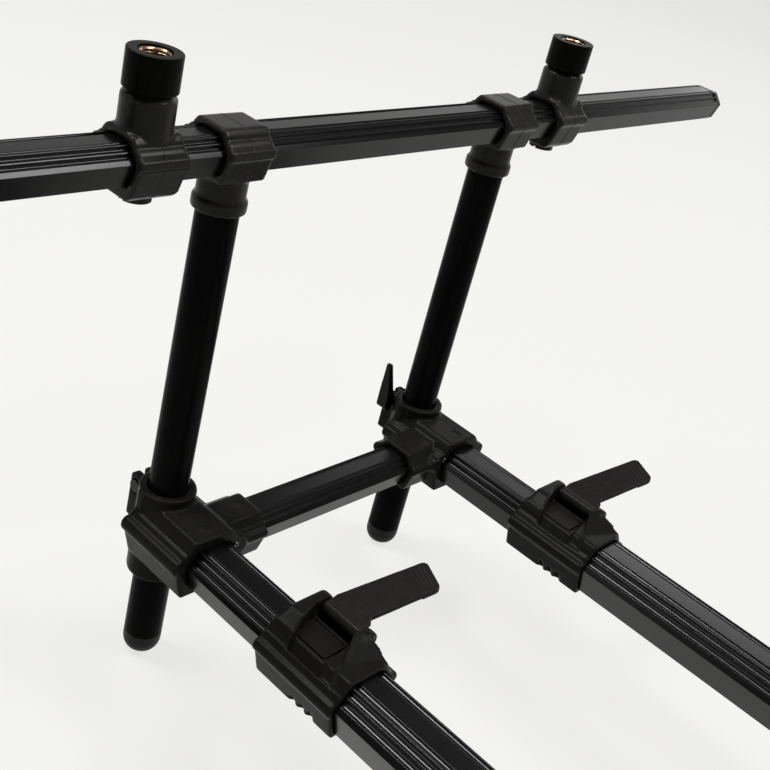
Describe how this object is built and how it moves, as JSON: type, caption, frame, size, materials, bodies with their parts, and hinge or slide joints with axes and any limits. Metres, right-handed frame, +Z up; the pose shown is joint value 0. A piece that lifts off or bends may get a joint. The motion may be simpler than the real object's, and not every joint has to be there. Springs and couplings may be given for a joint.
{
  "type": "rod pod",
  "caption": "Free-standing fishing rod pod: telescopic ribbed rails with flip locks, goal-post end frames, height-set uprights and buzz bars with sliding threaded sockets.",
  "frame": {"origin": "on the ground, in the middle between the feet", "axes": "+X across the pod along the buzz bars, +Y along the rails towards the front end, +Z up"},
  "size_m": [0.5062, 0.801, 0.2622],
  "materials": {
    "anodised": "black anodised, satin",
    "nylon": "moulded, fine texture",
    "rubber": "smooth",
    "brass": "machined",
    "steel": "plain"
  },
  "bodies": {
    "centre": {"left_outer_rail": "anodised", "right_outer_rail": "anodised", "lock_pins": "steel", "lock_pads": "nylon", "front_left_lock": "nylon", "front_right_lock": "nylon", "rear_left_lock": "nylon", "rear_right_lock": "nylon"},
    "front_frame": {"front_left_inner_rail": "anodised", "front_left_block": "nylon", "front_right_inner_rail": "anodised", "front_right_block": "nylon", "front_clamp_bolts": "steel", "front_crossbar": "anodised"},
    "front_post": {"front_left_upright": "anodised", "front_left_tee": "nylon", "front_right_upright": "anodised", "front_right_tee": "nylon", "front_feet": "rubber", "front_buzz_bar": "anodised", "front_bar_plugs": "nylon"},
    "front_left_lock_lever": {"front_left_lock_lever": "nylon"},
    "front_left_cam_lever": {"front_left_cam_lever": "nylon"},
    "front_left_socket": {"front_left_collar": "nylon"},
    "front_left_turning_ring": {"front_left_ring": "nylon", "front_left_insert": "brass"},
    "front_left_screw": {"front_left_clamp_screw": "nylon"},
    "front_right_lock_lever": {"front_right_lock_lever": "nylon"},
    "front_right_cam_lever": {"front_right_cam_lever": "nylon"},
    "front_right_socket": {"front_right_collar": "nylon"},
    "front_right_turning_ring": {"front_right_ring": "nylon", "front_right_insert": "brass"},
    "front_right_screw": {"front_right_clamp_screw": "nylon"},
    "rear_frame": {"rear_left_inner_rail": "anodised", "rear_left_block": "nylon", "rear_right_inner_rail": "anodised", "rear_right_block": "nylon", "rear_clamp_bolts": "steel", "rear_crossbar": "anodised"},
    "rear_post": {"rear_left_upright": "anodised", "rear_left_tee": "nylon", "rear_right_upright": "anodised", "rear_right_tee": "nylon", "rear_feet": "rubber", "rear_buzz_bar": "anodised", "rear_bar_plugs": "nylon"},
    "rear_left_lock_lever": {"rear_left_lock_lever": "nylon"},
    "rear_left_cam_lever": {"rear_left_cam_lever": "nylon"},
    "rear_left_socket": {"rear_left_collar": "nylon"},
    "rear_left_turning_ring": {"rear_left_ring": "nylon", "rear_left_insert": "brass"},
    "rear_left_screw": {"rear_left_clamp_screw": "nylon"},
    "rear_right_lock_lever": {"rear_right_lock_lever": "nylon"},
    "rear_right_cam_lever": {"rear_right_cam_lever": "nylon"},
    "rear_right_socket": {"rear_right_collar": "nylon"},
    "rear_right_turning_ring": {"rear_right_ring": "nylon", "rear_right_insert": "brass"},
    "rear_right_screw": {"rear_right_clamp_screw": "nylon"}
  },
  "joints": [
    {"name": "front_extend", "type": "slide", "parent": "centre", "child": "front_frame", "axis": [0, 1, 0], "range_m": [-0.04, 0.21]},
    {"name": "front_height", "type": "slide", "parent": "front_frame", "child": "front_post", "axis": [0, 0, 1], "range_m": [-0.115, 0.028]},
    {"name": "front_left_lock_flip", "type": "hinge", "parent": "centre", "child": "front_left_lock_lever", "pos_m": [-0.06375, 0.2919, 0.07975], "axis": [0, -1, 0], "range_deg": [0, 162]},
    {"name": "front_left_cam_flip", "type": "hinge", "parent": "front_frame", "child": "front_left_cam_lever", "pos_m": [-0.06735, 0.39708, 0.0774], "axis": [0, 1, 0], "range_deg": [0, 90]},
    {"name": "front_left_socket_slide", "type": "slide", "parent": "front_post", "child": "front_left_socket", "axis": [1, 0, 0], "range_m": [-0.12, 0.016]},
    {"name": "front_left_ring_turn", "type": "hinge", "parent": "front_left_socket", "child": "front_left_turning_ring", "pos_m": [-0.1124, 0.3835, 0.25], "axis": [0, 0, 1], "continuous": true},
    {"name": "front_left_screw_turn", "type": "hinge", "parent": "front_left_socket", "child": "front_left_screw", "pos_m": [-0.1124, 0.3835, 0.2158], "axis": [0, 0, 1], "continuous": true},
    {"name": "front_right_lock_flip", "type": "hinge", "parent": "centre", "child": "front_right_lock_lever", "pos_m": [0.08785, 0.2919, 0.07975], "axis": [0, -1, 0], "range_deg": [0, 162]},
    {"name": "front_right_cam_flip", "type": "hinge", "parent": "front_frame", "child": "front_right_cam_lever", "pos_m": [0.06735, 0.39708, 0.0774], "axis": [0, -1, 0], "range_deg": [0, 90]},
    {"name": "front_right_socket_slide", "type": "slide", "parent": "front_post", "child": "front_right_socket", "axis": [1, 0, 0], "range_m": [-0.016, 0.12]},
    {"name": "front_right_ring_turn", "type": "hinge", "parent": "front_right_socket", "child": "front_right_turning_ring", "pos_m": [0.1124, 0.3835, 0.25], "axis": [0, 0, 1], "continuous": true},
    {"name": "front_right_screw_turn", "type": "hinge", "parent": "front_right_socket", "child": "front_right_screw", "pos_m": [0.1124, 0.3835, 0.2158], "axis": [0, 0, 1], "continuous": true},
    {"name": "rear_extend", "type": "slide", "parent": "centre", "child": "rear_frame", "axis": [0, -1, 0], "range_m": [-0.04, 0.21]},
    {"name": "rear_height", "type": "slide", "parent": "rear_frame", "child": "rear_post", "axis": [0, 0, 1], "range_m": [-0.115, 0.028]},
    {"name": "rear_left_lock_flip", "type": "hinge", "parent": "centre", "child": "rear_left_lock_lever", "pos_m": [-0.08785, -0.2919, 0.07975], "axis": [0, 1, 0], "range_deg": [0, 162]},
    {"name": "rear_left_cam_flip", "type": "hinge", "parent": "rear_frame", "child": "rear_left_cam_lever", "pos_m": [-0.06735, -0.39708, 0.0774], "axis": [0, 1, 0], "range_deg": [0, 90]},
    {"name": "rear_left_socket_slide", "type": "slide", "parent": "rear_post", "child": "rear_left_socket", "axis": [1, 0, 0], "range_m": [-0.12, 0.016]},
    {"name": "rear_left_ring_turn", "type": "hinge", "parent": "rear_left_socket", "child": "rear_left_turning_ring", "pos_m": [-0.1124, -0.3835, 0.25], "axis": [0, 0, 1], "continuous": true},
    {"name": "rear_left_screw_turn", "type": "hinge", "parent": "rear_left_socket", "child": "rear_left_screw", "pos_m": [-0.1124, -0.3835, 0.2158], "axis": [0, 0, 1], "continuous": true},
    {"name": "rear_right_lock_flip", "type": "hinge", "parent": "centre", "child": "rear_right_lock_lever", "pos_m": [0.06375, -0.2919, 0.07975], "axis": [0, 1, 0], "range_deg": [0, 162]},
    {"name": "rear_right_cam_flip", "type": "hinge", "parent": "rear_frame", "child": "rear_right_cam_lever", "pos_m": [0.06735, -0.39708, 0.0774], "axis": [0, -1, 0], "range_deg": [0, 90]},
    {"name": "rear_right_socket_slide", "type": "slide", "parent": "rear_post", "child": "rear_right_socket", "axis": [1, 0, 0], "range_m": [-0.016, 0.12]},
    {"name": "rear_right_ring_turn", "type": "hinge", "parent": "rear_right_socket", "child": "rear_right_turning_ring", "pos_m": [0.1124, -0.3835, 0.25], "axis": [0, 0, 1], "continuous": true},
    {"name": "rear_right_screw_turn", "type": "hinge", "parent": "rear_right_socket", "child": "rear_right_screw", "pos_m": [0.1124, -0.3835, 0.2158], "axis": [0, 0, 1], "continuous": true}
  ]
}
